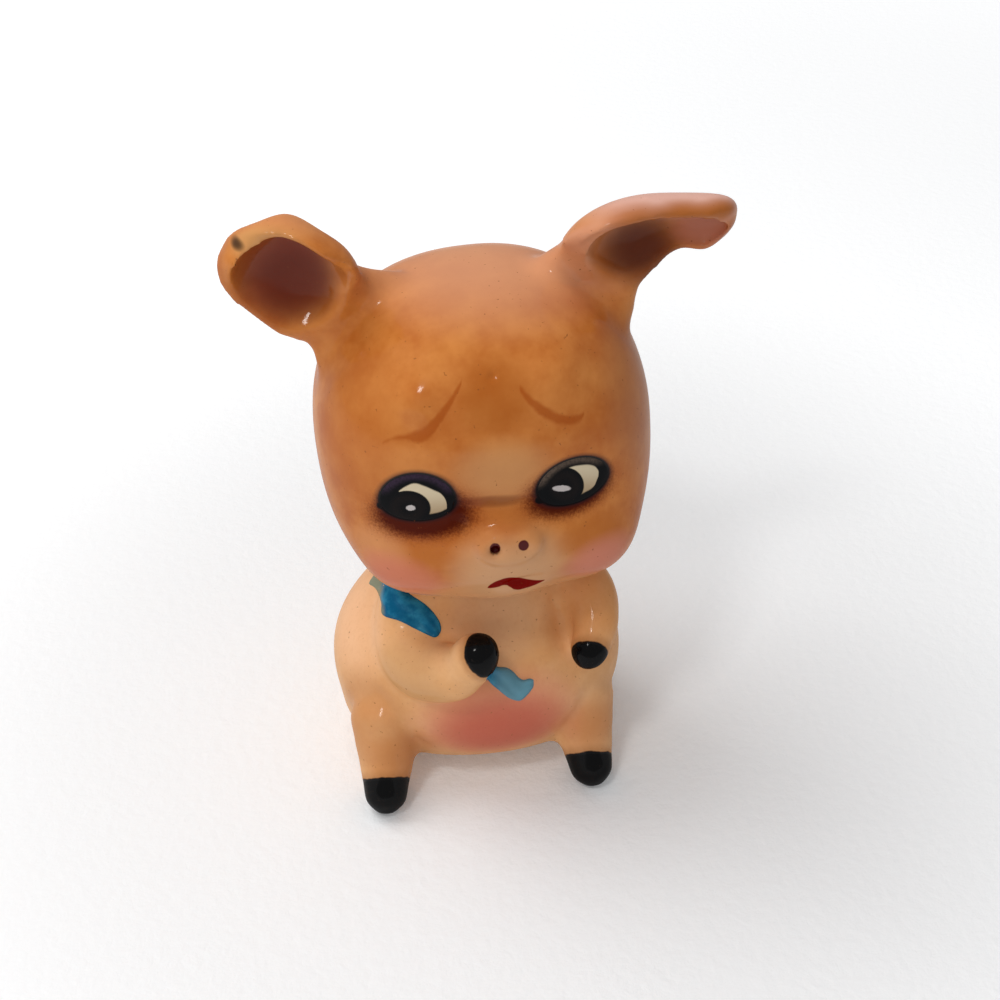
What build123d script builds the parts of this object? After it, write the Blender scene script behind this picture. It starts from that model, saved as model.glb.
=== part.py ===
"""Sitting pig ornament: a small hollow ceramic casting with modelled ears, limbs and tail.

Millimetres. +Z is up, the pig looks towards -Y, and its own right side is -X. The origin
is the middle of the flat seat, on the surface that the ornament stands on. The head is
built in a frame of its own, which stands on the neck joint and leans a little to the right.
"""

import os
from math import asin, copysign, cos, exp, pi, radians, sin

from build123d import *

os.makedirs("parts", exist_ok=True)

# Clay walls and general values
wall = 2.6
throat_radius = 6.0
round_points = 24
cavity_points = 12

# Body: a bell that swells at the hips and narrows to the neck
body_half_width = 21.3
belly_depth = 18.0
back_depth = 18.0
body_centre_y = 0.5
hip_height = 15.5
rump_reach = 17.0
rump_squareness = 2.8
belly_reach = 16.2
belly_squareness = 2.0
body_squareness = 2.1
neck_height = 35.0
neck_half_width = 11.0
neck_front = 9.5
neck_back = 10.5
bell_top = 37.0
body_levels = 9
vent_radius = 2.0
vent_offset = 6.0

# Head: two rounded halves that meet at the widest level, measured up from the neck joint
head_half_width = 22.6
face_depth = 21.0
nape_depth = 21.5
widest_level = 19.5
crown_reach = 23.5
jaw_reach = 20.4
crown_squareness = 2.3
jaw_squareness = 2.6
head_squareness = 2.3
head_levels = 18
cap_latitude = radians(87)
head_shift = 2.2
head_lean = radians(4.5)

# Swells of the face: how far each stands forward, its place, its level and its reaches
cheek_swell = 3.6
cheek_spread = radians(38)
cheek_spacing = 14.0
cheek_level = 7.2
cheek_reach = 7.0
muzzle_swell = 2.6
muzzle_level = 12.5
muzzle_reach_across = 8.0
muzzle_reach_up = 6.0
bridge_dip = 1.3
bridge_level = 21.3
bridge_reach_across = 8.0
bridge_reach_up = 3.0
socket_dip = 1.0
socket_spacing = 10.0
socket_reach = 4.2
brow_swell = 1.2
brow_spacing = 8.5
brow_level = 36.0
brow_reach = 3.2
chin_swell = 2.2
chin_level = 4.5
chin_reach_across = 7.0
chin_reach_up = 4.0

# Snout, nostrils and mouth
snout_half_width = 4.4
snout_half_height = 2.6
snout_level = 16.0
snout_stand = 1.1
snout_tilt = radians(12)
snout_root = 4.5
snout_rounding = 1.0
nostril_radius = 0.75
nostril_spacing = 1.95
nostril_depth = 1.4
mouth_half_width = 4.0
mouth_half_height = 1.7
mouth_level = 8.6
mouth_shift = 0.9
mouth_depth = 0.7
mouth_tilt = radians(-12)

# Outline of the sulky mouth, from its right corner over the upper lip and back by the notch below
mouth_outline_shares = [
    (-1.0, -0.75),
    (-0.5, 0.25),
    (-0.05, 0.85),
    (0.45, 0.7),
    (1.0, 0.3),
    (0.6, -0.45),
    (0.2, -0.9),
    (-0.1, -0.3),
    (-0.5, -0.25),
]

# Eyes: enamelled almonds let into the face
eye_half_width = 4.6
eye_half_height = 3.2
eye_right_across = -10.6
eye_left_across = 9.3
eye_level = 21.2
eye_low_half_height = 2.8
eye_corner = 0.5
eye_depth = 1.3
eye_turn = radians(20)

# Ears: leaves with a scooped cup, each raised, bent and opened a little differently by hand
ear_root_inset = 7.6
ear_root_drop = 9.0
ear_root_back = 3.0
ear_sweep = radians(6)
ear_radius = 8.6
ear_wall = 2.0
ear_front_bulge_share = 0.2
ear_edge_roundness = 0.8
ear_edge_crowding = 1.0
ear_points = 24
ear_right_length = 22.8
ear_right_rise = radians(72)
ear_right_droop = radians(36)
ear_left_length = 27.5
ear_left_rise = radians(106)
ear_left_droop = radians(112)

# Rows of an ear: place along it, outer radius, and how far round its lower and upper edge reach
ear_right_row_shares = [
    (0.00, 0.98, radians(56), radians(40)),
    (0.18, 0.88, radians(56), radians(46)),
    (0.33, 0.92, radians(56), radians(66)),
    (0.48, 1.01, radians(56), radians(88)),
    (0.64, 0.98, radians(55), radians(102)),
    (0.79, 0.88, radians(55), radians(106)),
    (0.91, 0.72, radians(55), radians(104)),
    (0.98, 0.52, radians(54), radians(94)),
    (1.00, 0.36, radians(50), radians(70)),
]
ear_left_row_shares = [
    (0.00, 1.00, radians(50), radians(34)),
    (0.17, 0.90, radians(52), radians(44)),
    (0.31, 0.92, radians(56), radians(76)),
    (0.44, 0.93, radians(60), radians(104)),
    (0.58, 0.78, radians(60), radians(116)),
    (0.72, 0.60, radians(58), radians(126)),
    (0.86, 0.51, radians(62), radians(130)),
    (0.96, 0.40, radians(60), radians(120)),
    (1.00, 0.24, radians(50), radians(90)),
]

# Rows of the scooped cup: place along the ear, and radius as a share of the room inside the wall
ear_right_cup_shares = [
    (0.30, 0.25),
    (0.36, 0.70),
    (0.46, 0.95),
    (0.64, 1.00),
    (0.79, 1.00),
    (0.90, 0.80),
    (0.95, 0.30),
]
ear_left_cup_shares = [
    (0.30, 0.25),
    (0.35, 0.70),
    (0.45, 0.95),
    (0.60, 1.00),
    (0.75, 1.00),
    (0.90, 0.85),
    (0.96, 0.30),
]

# Arms: smooth round limbs from the shoulder to a hoof held before the chest
arm_right_radii = [4.2, 4.8, 3.3]
arm_left_radii = [3.8, 3.8, 2.8]
wrist_dome_share = 1.15
hoof_right_length = 2.2
hoof_left_length = 3.0

# Routes of the arms: shares of the body's half width, its belly's depth and the neck's height
arm_right_route_shares = [
    (-0.43, -0.22, 0.875),
    (-0.48, -0.59, 0.65),
    (-0.365, -0.81, 0.67),
    (-0.108, -1.06, 0.953),
]
arm_left_route_shares = [
    (0.54, -0.11, 0.875),
    (0.69, -0.39, 0.85),
    (0.715, -0.62, 0.78),
    (0.555, -0.925, 0.69),
]

# Legs: short straight stubs that slope forward from the hips to the hooves on the floor
leg_root_radius = 5.4
leg_end_radius = 3.5
leg_length = 19.0
leg_slope = radians(52)
leg_splay = radians(6)
rear_hoof_length = 5.4
foot_right_across = -16.0
foot_left_across = 15.1
foot_right_front = -18.8
foot_left_front = -17.6
toe_height = 0.5
limb_levels = 7
dome_levels = 4
dome_latitude = radians(82)

# Tail: a small curl against the back
tail_wire = 1.4
tail_curl_radius = 2.3
tail_height = 12.0
tail_turns = 1.15
tail_pitch = 3.4
tail_sink = 0.8

# Handkerchief: a cloth pinched in the right hand, fanned above it and hanging below
cloth_thickness = 2.0
cloth_width = 5.2
cloth_squareness = 2.8
cloth_points = 16
cloth_outward = (-0.15, -0.88, 0.45)

# Route of the handkerchief in the same shares as the arms, and its width along it
cloth_route_shares = [
    (-0.745, -0.50, 1.00),
    (-0.56, -0.70, 0.955),
    (-0.42, -0.79, 0.885),
    (-0.30, -0.68, 0.80),
    (-0.08, -0.76, 0.68),
    (0.10, -0.89, 0.61),
    (0.23, -0.93, 0.57),
]
cloth_width_shares = [1.0, 1.0, 0.8, 0.35, 0.4, 0.6, 0.55]


def signed_power(value, exponent):
    return copysign(abs(value) ** exponent, value)


def ring(half_width, front, back, squareness, count):
    """Points of one level, from the middle of the back round by the right side."""
    points = []
    for step in range(count):
        turn = pi / 2 + 2 * pi * step / count
        depth = back if sin(turn) > 0 else front
        across = half_width * signed_power(cos(turn), 2 / squareness)
        points.append((across, depth * signed_power(sin(turn), 2 / squareness)))
    return points


def smooth_face(plane, points):
    """A face on the plane, bounded by a smooth closed curve through the points."""
    with BuildSketch(plane) as sketch:
        with BuildLine():
            Spline(*points, periodic=True)
        make_face()
    return sketch.sketch


def lofted(sections):
    with BuildPart() as form:
        loft(sections)
    return form.part


def placed(route_shares):
    """Points of a route over the body, from its shares."""
    return [
        Vector(across * body_half_width, out * belly_depth, up * neck_height)
        for across, out, up in route_shares
    ]


def save(piece, name):
    piece.label = name
    export_step(piece, f"parts/{name}.step")


def body_level(height, inset):
    """Half width, front and back of the body at a height, drawn in by the inset."""
    if height < hip_height:
        drop = hip_height - height
        share = (1 - (drop / rump_reach) ** rump_squareness) ** (1 / rump_squareness)
        front_share = (1 - (drop / belly_reach) ** belly_squareness) ** (1 / belly_squareness)
        sizes = [body_half_width * share, belly_depth * front_share, back_depth * share]
    else:
        rise = (height - hip_height) / (bell_top - hip_height)
        share = 0.5 + 0.5 * cos(pi * rise)
        sizes = [
            neck_half_width + (body_half_width - neck_half_width) * share,
            neck_front + (belly_depth - neck_front) * share,
            neck_back + (back_depth - neck_back) * share,
        ]
    return [size - inset for size in sizes]


def body_form(inset, count):
    """The body's bell, from the seat or the floor of its cavity up past the neck joint."""
    sections = []
    for level in range(body_levels + 1):
        height = inset + (bell_top - inset) * level / body_levels
        points = ring(*body_level(height, inset), body_squareness, count)
        sections.append(smooth_face(Plane((0, body_centre_y, height)), points))
    return lofted(sections)


# The neck joint, and the head's own frame on it
neck = Plane(
    (head_shift, body_centre_y, neck_height),
    x_dir=(cos(head_lean), 0, sin(head_lean)),
    z_dir=(-sin(head_lean), 0, cos(head_lean)),
)


def on_head(x, y, z, x_dir=(1, 0, 0), z_dir=(0, 0, 1)):
    """A plane given in the head's own frame."""
    return Plane(neck * Plane((x, y, z), x_dir=x_dir, z_dir=z_dir))


def swell(amount, place, level, reach_across, reach_up, spread=0):
    """One smooth hill of the face, pushed forward and, by its spread, to the side as well."""

    def push(x, z):
        hill = amount * exp(-(((x - place) / reach_across) ** 2) - ((z - level) / reach_up) ** 2)
        return hill * sin(spread), -hill * cos(spread)

    return push


face_swells = [
    swell(muzzle_swell, 0, muzzle_level, muzzle_reach_across, muzzle_reach_up),
    swell(chin_swell, 0, chin_level, chin_reach_across, chin_reach_up),
    swell(-bridge_dip, 0, bridge_level, bridge_reach_across, bridge_reach_up),
]
for side in (-1, 1):
    face_swells.append(
        swell(cheek_swell, side * cheek_spacing, cheek_level, cheek_reach, cheek_reach, side * cheek_spread)
    )
    face_swells.append(swell(-socket_dip, side * socket_spacing, eye_level, socket_reach, socket_reach))
    face_swells.append(swell(brow_swell, side * brow_spacing, brow_level, brow_reach, brow_reach))


def head_girth(level, inset=0):
    """Share of the full girth at a level of the head."""
    squareness = crown_squareness if level > widest_level else jaw_squareness
    reach = (crown_reach if level > widest_level else jaw_reach) - inset
    return (1 - (abs(level - widest_level) / reach) ** squareness) ** (1 / squareness)


def swollen(x, y, level, depth):
    """A point of the front half, moved by the swells of the face."""
    pushes = [push(x, level) for push in face_swells]
    frontness = -y / depth
    return x + frontness * sum(push[0] for push in pushes), y + frontness * sum(push[1] for push in pushes)


def face_y(across, level):
    """How far forward the face stands at a place across and a level."""
    girth = head_girth(level)
    share = abs(across) / (head_half_width * girth)
    depth = face_depth * girth
    plain = -depth * (1 - share**head_squareness) ** (1 / head_squareness)
    return swollen(across, plain, level, depth)[1]


def head_form(inset, count, with_face=True):
    """The head's closed outer form, drawn in by the inset."""
    lowest = -asin(((widest_level - inset) / (jaw_reach - inset)) ** (jaw_squareness / 2))
    sections = []
    for step in range(head_levels + 1):
        latitude = lowest + (cap_latitude - lowest) * step / head_levels
        squareness = crown_squareness if latitude > 0 else jaw_squareness
        reach = (crown_reach if latitude > 0 else jaw_reach) - inset
        level = widest_level + reach * signed_power(sin(latitude), 2 / squareness)
        girth = head_girth(level, inset)
        sizes = [(size - inset) * girth for size in (head_half_width, face_depth, nape_depth)]
        points = []
        for x, y in ring(*sizes, head_squareness, count):
            points.append(swollen(x, y, level, sizes[1]) if with_face and y < 0 else (x, y))
        sections.append(smooth_face(on_head(0, 0, level), points))
    return lofted(sections)


def limb_form(path_points, bend_axis, radii, tip_length, root_length=0):
    """A round limb lofted square to a smooth path, with a domed tip and at will a domed root."""
    with BuildLine() as line:
        Spline(*path_points)
    path = line.edge()
    shaft = path.length - tip_length - root_length
    stations = []
    domes = [dome_latitude * step / dome_levels for step in range(1, dome_levels + 1)]
    if root_length:
        stations += [(root_length * (1 - sin(turn)), radii[0] * cos(turn)) for turn in reversed(domes)]
    for step in range(limb_levels):
        share = step / (limb_levels - 1)
        span = min(int(share * (len(radii) - 1)), len(radii) - 2)
        blend = share * (len(radii) - 1) - span
        stations.append((root_length + shaft * share, radii[span] + (radii[span + 1] - radii[span]) * blend))
    stations += [(root_length + shaft + tip_length * sin(turn), radii[-1] * cos(turn)) for turn in domes]
    sections = []
    for distance, radius in stations:
        centre = path.position_at(distance, position_mode=PositionMode.LENGTH)
        along = path.tangent_at(distance, position_mode=PositionMode.LENGTH)
        with BuildSketch(Plane(centre, x_dir=bend_axis, z_dir=along)) as section:
            Circle(radius)
        sections.append(section.sketch)
    return lofted(sections), path


# Solid forms that the thin-walled pieces and their neighbours are cut from
body_solid = body_form(0, round_points)
head_solid = head_form(0, round_points)

# Body: the bell with its cavity, its throat and the vent in the seat
with BuildPart() as body:
    add(body_solid)
    add(body_form(wall, cavity_points), mode=Mode.SUBTRACT)
    with Locations((0, vent_offset, 0)):
        Cylinder(vent_radius, 2 * wall, mode=Mode.SUBTRACT)
    split(bisect_by=neck, keep=Keep.BOTTOM)
save(body.part, "body")


def bed_plane(across, level, depth, turn=0, tilt=0):
    """The floor of a bed under the face, which looks forward, turned outward and tilted up."""
    facing = (sin(turn) * cos(tilt), -cos(turn) * cos(tilt), sin(tilt))
    sideways = (cos(turn), sin(turn), 0)
    return on_head(across, face_y(across, level) + depth, level, x_dir=sideways, z_dir=facing)


# Snout: an oval button on the muzzle, tilted up, with two nostrils
snout_plane = bed_plane(0, snout_level, -snout_stand, tilt=snout_tilt)
with BuildPart() as snout:
    with BuildSketch(snout_plane):
        Ellipse(snout_half_width, snout_half_height)
    extrude(amount=-snout_root)
    fillet(snout.faces().sort_by(Axis.Y)[0].edges(), snout_rounding)

# Eyes: almonds that fill their flat beds flush with the face
eyes = {}
for name, across in (("right", eye_right_across), ("left", eye_left_across)):
    with BuildPart() as eye:
        with BuildSketch(bed_plane(across, eye_level, eye_depth, turn=copysign(eye_turn, across))) as outline:
            with BuildLine():
                ThreePointArc((-eye_half_width, 0), (0, eye_half_height), (eye_half_width, 0))
                ThreePointArc((eye_half_width, 0), (0, -eye_low_half_height), (-eye_half_width, 0))
            make_face()
            fillet(outline.vertices(), eye_corner)
        extrude(amount=wall + eye_depth)
        add(head_solid, mode=Mode.INTERSECT)
    save(eye.part, f"eye_{name}")
    eyes[name] = eye.part

# Head: the casting with its cavity, throat, eye beds, mouth and nostrils
with BuildPart() as head:
    add(head_solid)
    add(snout.part)
    add(head_form(wall, cavity_points, with_face=False), mode=Mode.SUBTRACT)
    with BuildSketch(neck):
        Circle(throat_radius)
    extrude(amount=2 * wall, mode=Mode.SUBTRACT)
    with BuildSketch(snout_plane):
        with Locations((-nostril_spacing, 0), (nostril_spacing, 0)):
            Circle(nostril_radius)
    extrude(amount=-nostril_depth, mode=Mode.SUBTRACT)
    with BuildSketch(bed_plane(mouth_shift, mouth_level, mouth_depth, tilt=mouth_tilt)):
        with BuildLine():
            Polyline(
                [(across * mouth_half_width, up * mouth_half_height) for across, up in mouth_outline_shares],
                close=True,
            )
        make_face()
    extrude(amount=wall, mode=Mode.SUBTRACT)
    add(eyes.values(), mode=Mode.SUBTRACT)
save(head.part, "head")


def ear_direction(side, rise, droop, place):
    """Which way an ear points at a place along it; it bends down most near its root."""
    slope = rise - droop * (1 - (1 - place) ** 2)
    return Vector(side * cos(slope) * cos(ear_sweep), -cos(slope) * sin(ear_sweep), sin(slope))


def ear_plane(side, length, rise, droop, place):
    """The plane across an ear at a place along it; its Y axis is the way the cup opens."""
    root_level = widest_level + crown_reach - ear_root_drop
    centre = Vector(side * (head_half_width - ear_root_inset), ear_root_back, root_level)
    for step in range(ear_points):
        middle = place * (step + 0.5) / ear_points
        centre += ear_direction(side, rise, droop, middle) * (length * place / ear_points)
    along = ear_direction(side, rise, droop, place)
    forward = Vector(0, -1, 0)
    opening = (forward - along * forward.dot(along)).normalized()
    return on_head(*centre, x_dir=opening.cross(along) * side, z_dir=along * side)


def leaf_outline(radius, low, high):
    """Section of a leaf: round at the back, closed by a bulging front between its two edges."""

    def on_back(reach, distance):
        angle = (high if reach > 0 else low) * reach
        return Vector(distance * sin(angle), radius - distance * cos(angle))

    low_edge = on_back(-1, radius - ear_wall / 2)
    edge_to_edge = on_back(1, radius - ear_wall / 2) - low_edge
    forward = Vector(-edge_to_edge.Y, edge_to_edge.X).normalized()
    points = []
    for step in range(ear_points):
        turn = pi / 2 + 2 * pi * step / ear_points
        reach = signed_power(cos(turn), ear_edge_crowding)
        middle = on_back(reach, radius - ear_wall / 2)
        skin = on_back(reach, radius)
        if sin(turn) < 0:
            skin = low_edge + edge_to_edge * ((1 + reach) / 2)
            skin += forward * (radius * ear_front_bulge_share * (1 - reach**2))
        point = middle + (skin - middle) * abs(sin(turn)) ** ear_edge_roundness
        points.append((point.X, point.Y))
    return points


def ear(side, length, rise, droop, row_shares, cup_shares):
    """A leaf with its cup scooped out of the front; side is 1 on the pig's left."""
    leaf = []
    for place, radius_share, low, high in row_shares:
        outline = leaf_outline(ear_radius * radius_share, low, high)
        leaf.append(smooth_face(ear_plane(side, length, rise, droop, place), outline))
    cup = []
    for place, room_share in cup_shares:
        span = [row for row in zip(row_shares, row_shares[1:]) if row[0][0] <= place <= row[1][0]][0]
        blend = (place - span[0][0]) / (span[1][0] - span[0][0])
        radius = ear_radius * (span[0][1] + (span[1][1] - span[0][1]) * blend)
        with BuildSketch(ear_plane(side, length, rise, droop, place)) as section:
            with Locations((0, radius)):
                Circle((radius - ear_wall) * room_share)
        cup.append(section.sketch)
    return lofted(leaf), lofted(cup)


right_ear = (
    -1,
    ear_right_length,
    ear_right_rise,
    ear_right_droop,
    ear_right_row_shares,
    ear_right_cup_shares,
)
left_ear = (
    1,
    ear_left_length,
    ear_left_rise,
    ear_left_droop,
    ear_left_row_shares,
    ear_left_cup_shares,
)
for name, sizes in (("ear_right", right_ear), ("ear_left", left_ear)):
    leaf, cup = ear(*sizes)
    with BuildPart() as ear_piece:
        add(leaf)
        add(cup, mode=Mode.SUBTRACT)
        add(head_solid, mode=Mode.SUBTRACT)
    save(ear_piece.part, name)

# Handkerchief: a flat cloth lofted square to its route over the arm and under the hand
with BuildLine() as cloth_line:
    Spline(*placed(cloth_route_shares))
cloth_route = cloth_line.edge()
cloth_sections = []
for step, width_share in enumerate(cloth_width_shares):
    share = step / (len(cloth_width_shares) - 1)
    along = cloth_route % share
    across = Vector(*cloth_outward).cross(along)
    half_width = cloth_width * width_share / 2
    half_thickness = cloth_thickness / 2
    outline = ring(half_width, half_thickness, half_thickness, cloth_squareness, cloth_points)
    cloth_sections.append(smooth_face(Plane(cloth_route @ share, x_dir=across, z_dir=along), outline))
with BuildPart() as handkerchief:
    loft(cloth_sections)
    add(body_solid, mode=Mode.SUBTRACT)
    add(head_solid, mode=Mode.SUBTRACT)
save(handkerchief.part, "handkerchief")

# Arms, each parted from its hoof at the paint line
for name, route_shares, radii, hoof_length in (
    ("right", arm_right_route_shares, arm_right_radii, hoof_right_length),
    ("left", arm_left_route_shares, arm_left_radii, hoof_left_length),
):
    route = placed(route_shares)
    shoulder, upper, lower, tip = route
    bend_axis = (upper - shoulder).cross(tip - lower)
    form, path = limb_form(route, bend_axis, radii, radii[-1] * wrist_dome_share)
    line_place = path.length - hoof_length
    paint_line = Plane(
        path.position_at(line_place, position_mode=PositionMode.LENGTH),
        z_dir=path.tangent_at(line_place, position_mode=PositionMode.LENGTH),
    )
    for piece, keep in (("arm", Keep.BOTTOM), ("hoof_front", Keep.TOP)):
        with BuildPart() as half:
            add(form)
            add(body_solid, mode=Mode.SUBTRACT)
            add(handkerchief.part, mode=Mode.SUBTRACT)
            split(bisect_by=paint_line, keep=keep)
        save(half.part, f"{piece}_{name}")

# Legs, each parted from its hoof at the paint line and standing on a small flat sole
for name, foot_across, foot_front in (
    ("right", foot_right_across, foot_right_front),
    ("left", foot_left_across, foot_left_front),
):
    side = copysign(1, foot_across)
    along = Vector(-side * sin(leg_splay), cos(leg_slope), sin(leg_slope)).normalized()
    toe = Vector(foot_across, foot_front, toe_height)
    route = [toe + along * leg_length, toe + along * (leg_length / 2), toe]
    radii = [leg_root_radius, leg_end_radius]
    form, path = limb_form(route, Vector(1, 0, 0), radii, leg_end_radius, leg_root_radius)
    paint_line = Plane(toe + along * rear_hoof_length, z_dir=-along)
    for piece, keep in (("leg", Keep.BOTTOM), ("hoof_rear", Keep.TOP)):
        with BuildPart() as half:
            add(form)
            add(body_solid, mode=Mode.SUBTRACT)
            split(bisect_by=paint_line, keep=keep)
            split(bisect_by=Plane.XY, keep=Keep.TOP)
        save(half.part, f"{piece}_{name}")

# Tail: a wire of clay curled once round, seated on the back and rounded at its end
tail_root = body_centre_y + back_depth - tail_sink
with BuildPart() as tail:
    with BuildLine() as curl:
        Helix(
            pitch=tail_pitch,
            height=tail_pitch * tail_turns,
            radius=tail_curl_radius,
            center=(0, tail_root, tail_height),
            direction=(0, 1, 0),
        )
    with BuildSketch(Plane(curl.line @ 0, z_dir=curl.line % 0)):
        Circle(tail_wire)
    sweep(path=curl.line)
    with Locations(curl.line @ 1):
        Sphere(tail_wire)
    add(body_solid, mode=Mode.SUBTRACT)
save(tail.part, "tail")
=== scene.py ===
"""Sitting pig ornament, dressed: a small hollow ceramic casting, joined with slip, airbrushed and
varnished. Metres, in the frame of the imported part: +Z up, the pig looks towards -Y.
"""

import math

import bmesh
import bpy
from mathutils import Matrix, Vector
from mathutils.bvhtree import BVHTree
from mathutils.kdtree import KDTree


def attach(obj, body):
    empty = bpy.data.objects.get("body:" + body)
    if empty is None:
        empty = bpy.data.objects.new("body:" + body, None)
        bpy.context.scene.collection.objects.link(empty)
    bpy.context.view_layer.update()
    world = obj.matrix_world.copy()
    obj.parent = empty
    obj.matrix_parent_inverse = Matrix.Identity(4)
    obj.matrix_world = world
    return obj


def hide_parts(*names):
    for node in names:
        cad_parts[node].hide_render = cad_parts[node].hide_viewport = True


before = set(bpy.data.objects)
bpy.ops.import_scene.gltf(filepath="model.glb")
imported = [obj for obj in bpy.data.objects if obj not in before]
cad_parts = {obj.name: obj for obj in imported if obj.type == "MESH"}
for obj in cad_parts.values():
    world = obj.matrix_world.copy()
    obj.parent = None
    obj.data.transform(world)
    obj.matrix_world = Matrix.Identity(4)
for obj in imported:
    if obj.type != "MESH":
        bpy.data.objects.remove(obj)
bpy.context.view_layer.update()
mm = 0.001

# Camera. The ornament is seen from above and a little from its own right, from close by,
# so that the head is large against the seat. The shift only sets it in the frame.
camera_turn = math.radians(-8)
camera_rise = math.radians(36)
camera_distance = 225 * mm
camera_target = Vector((0, 0, 45 * mm))
camera_right = Vector((math.cos(camera_turn), math.sin(camera_turn), 0))
camera_back = Vector(
    (
        math.sin(camera_turn) * math.cos(camera_rise),
        -math.cos(camera_turn) * math.cos(camera_rise),
        math.sin(camera_rise),
    )
)
camera_up = camera_back.cross(camera_right)
camera_data = bpy.data.cameras.new("camera")
camera_data.sensor_width = 36
camera_data.lens = 58.3
camera_data.shift_x = 0.023
camera_data.shift_y = -0.02
camera_data.clip_start = 0.01
camera = bpy.data.objects.new("camera", camera_data)
camera.matrix_world = Matrix.Translation(camera_target + camera_back * camera_distance) @ (
    Matrix((camera_right, camera_up, camera_back)).transposed().to_4x4()
)
bpy.context.scene.collection.objects.link(camera)
bpy.context.scene.camera = camera


# Paper floor. A plain sheet of white paper under the ornament, wide enough for every view. It
# keeps the soft shadow, and the camera sees it whiter away from the ornament.
class Shade:
    """One socket of a material's nodes, so that its maths is written as Python expressions."""

    def __init__(self, tree, socket):
        self.tree = tree
        self.socket = socket

    def make(self, kind, settings=None, inputs=None, output=0):
        """Any node: its type, its settings, and the values or links of its sockets."""
        node = self.tree.nodes.new(kind)
        for key, value in (settings or {}).items():
            if key == "points":
                curve = node.mapping.curves[0]
                while len(curve.points) < len(value):
                    curve.points.new(0.5, 0.5)
                for point, place in zip(curve.points, value):
                    point.location = place
                node.mapping.update()
            else:
                setattr(node, key, value)
        for key, value in (inputs or {}).items():
            if isinstance(value, Shade):
                self.tree.links.new(value.socket, node.inputs[key])
            else:
                node.inputs[key].default_value = value
        return Shade(self.tree, node.outputs[output])

    def maths(self, operation, *values):
        return self.make("ShaderNodeMath", {"operation": operation}, dict(enumerate(values)))

    def __add__(self, other):
        return self.maths("ADD", self, other)

    def __sub__(self, other):
        return self.maths("SUBTRACT", self, other)

    def __mul__(self, other):
        return self.maths("MULTIPLY", self, other)

    def __truediv__(self, other):
        return self.maths("DIVIDE", self, other)

    def __rsub__(self, other):
        return self.maths("SUBTRACT", other, self)

    def __neg__(self):
        return self.maths("MULTIPLY", self, -1)

    def __abs__(self):
        return self.maths("ABSOLUTE", self)

    __radd__ = __add__
    __rmul__ = __mul__

    def larger(self, other):
        return self.maths("MAXIMUM", self, other)

    def root(self):
        return self.maths("SQRT", self)

    def soft(self, start, end):
        """0 at the start and 1 at the end, with a smooth step between them."""
        settings = {"interpolation_type": "SMOOTHSTEP"}
        values = {"Value": self, "From Min": start, "From Max": end}
        if start > end:
            values = {"Value": -self, "From Min": -start, "From Max": -end}
        return self.make("ShaderNodeMapRange", settings, values)


def colour(red, green, blue):
    """A paint colour, from the values that a screen shows, as light."""
    shares = [value / 255 for value in (red, green, blue)]
    light = [((v + 0.055) / 1.055) ** 2.4 if v > 0.04 else v / 12.92 for v in shares]
    return (*light, 1)


def new_material(name):
    """A material with its shader, and the place on the piece in millimetres."""
    material = bpy.data.materials.new(name)
    material.use_nodes = True
    tree = material.node_tree
    shader = tree.nodes["Principled BSDF"]
    start = Shade(tree, None)
    metres = start.make("ShaderNodeTexCoord", output="Object")
    place = start.make("ShaderNodeVectorMath", {"operation": "SCALE"}, {0: metres, "Scale": 1 / mm})
    return material, shader, place


def feed(shader, name, value):
    value.tree.links.new(value.socket, shader.inputs[name])


def dot(place, direction):
    inputs = {0: place, 1: tuple(direction)}
    return place.make("ShaderNodeVectorMath", {"operation": "DOT_PRODUCT"}, inputs, output="Value")


def noise(place, scale, detail=2, roughness=0.5):
    inputs = {"Vector": place, "Scale": scale, "Detail": detail, "Roughness": roughness}
    return place.make("ShaderNodeTexNoise", {"normalize": True}, inputs)


def bump(height, strength, distance):
    """A relief in millimetres, as a normal."""
    return height.make(
        "ShaderNodeBump", None, {"Strength": strength, "Distance": distance * mm, "Height": height}
    )


floor_half_width = 2.0
floor_mesh = bmesh.new()
bmesh.ops.create_grid(floor_mesh, x_segments=4, y_segments=4, size=floor_half_width)
floor_data = bpy.data.meshes.new("paper_floor")
floor_mesh.to_mesh(floor_data)
floor_mesh.free()
floor = bpy.data.objects.new("paper_floor", floor_data)
bpy.context.scene.collection.objects.link(floor)
material, shader, place = new_material("paper")
shader.inputs["Base Color"].default_value = colour(245, 247, 250)
shader.inputs["Roughness"].default_value = 0.85
fibres = noise(place, 0.55, 6, 0.6)
feed(shader, "Normal", bump(fibres, 0.5, 0.5))


def in_view(start):
    """1 for the rays that come from the camera, also through something clear."""
    seen, clear = (
        start.make("ShaderNodeLightPath", output=kind)
        for kind in ("Is Camera Ray", "Is Transmission Ray")
    )
    return seen.larger(clear)


x, y = (dot(place, axis) for axis in ((1, 0, 0), (0, 1, 0)))
away = (x * x + y * y).root()
glow_under = 0.07
glow_near = away.soft(50, 160) * 0.24
glow_far = away.soft(180, 800) * 0.6
glow = in_view(place) * (glow_under + glow_near + glow_far)
grey = place.make("ShaderNodeCombineColor", None, {0: glow, 1: glow, 2: glow})
feed(shader, "Emission Color", grey)
shader.inputs["Emission Strength"].default_value = 1
floor_data.materials.append(material)

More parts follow.
